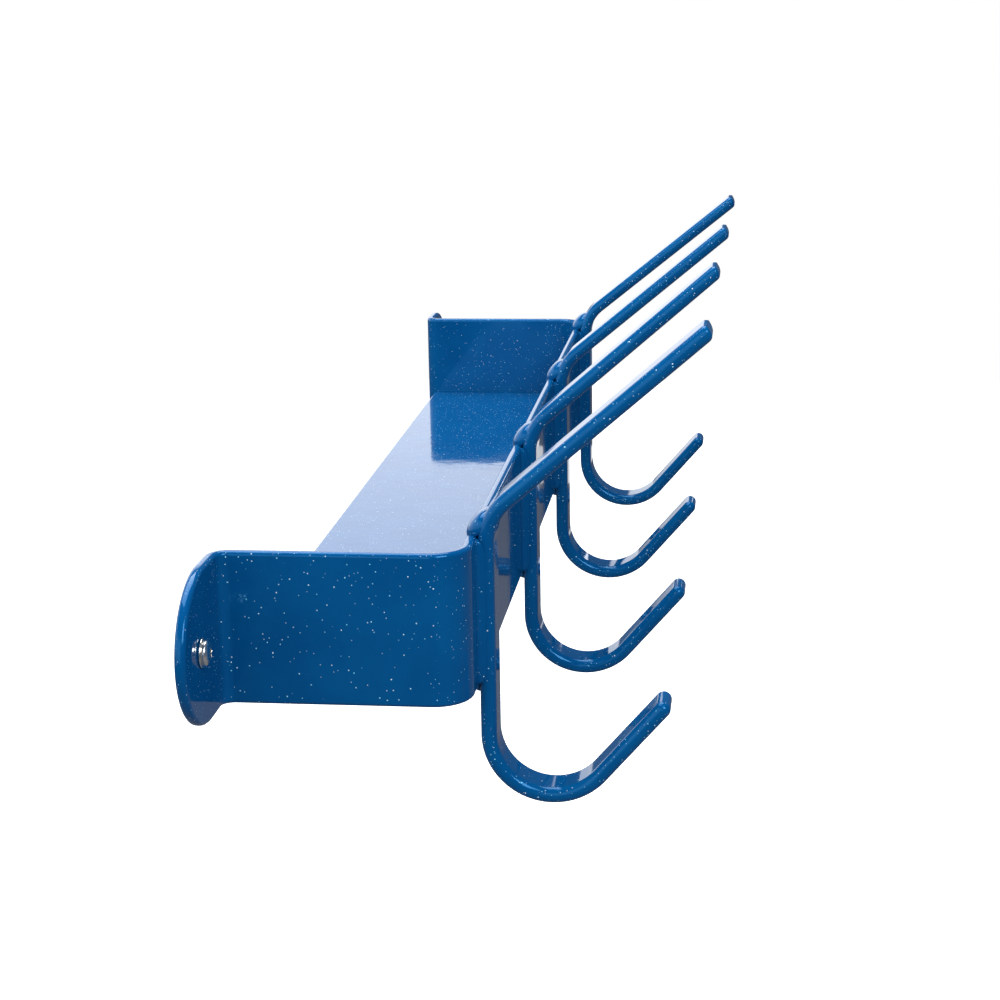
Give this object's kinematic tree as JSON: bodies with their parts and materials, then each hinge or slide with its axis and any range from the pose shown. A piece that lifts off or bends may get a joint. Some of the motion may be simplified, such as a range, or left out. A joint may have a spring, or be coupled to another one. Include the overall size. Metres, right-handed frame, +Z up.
{
  "type": "wall hose rack",
  "caption": "Wall-mounted pool hose and pole rack: a bent flat-steel bar with a shelf and double hooks in glossy blue glitter coating.",
  "frame": {"origin": "on the wall plane, at the middle of the rack's length and at the height of the two mounting screws", "axes": "+X along the wall, +Y into the wall, +Z up; the hooks stand out towards -Y"},
  "size_m": [0.8324, 0.249, 0.2431],
  "materials": {
    "blue_glitter_coating": "high gloss thick coat with fine white and cyan glitter",
    "bright_steel": "bright plated"
  },
  "bodies": {
    "root": {"hook_1": "blue_glitter_coating", "hook_2": "blue_glitter_coating", "hook_3": "blue_glitter_coating", "hook_4": "blue_glitter_coating", "lower_weld_1": "blue_glitter_coating", "lower_weld_2": "blue_glitter_coating", "lower_weld_3": "blue_glitter_coating", "lower_weld_4": "blue_glitter_coating", "mounting_screw_left": "bright_steel", "mounting_screw_right": "bright_steel", "rack_bar": "blue_glitter_coating", "screw_washer_left": "bright_steel", "screw_washer_right": "bright_steel", "shelf_plate": "blue_glitter_coating", "shelf_weld_front": "blue_glitter_coating", "shelf_weld_left": "blue_glitter_coating", "shelf_weld_right": "blue_glitter_coating", "top_weld_1": "blue_glitter_coating", "top_weld_2": "blue_glitter_coating", "top_weld_3": "blue_glitter_coating", "top_weld_4": "blue_glitter_coating"}
  },
  "joints": []
}
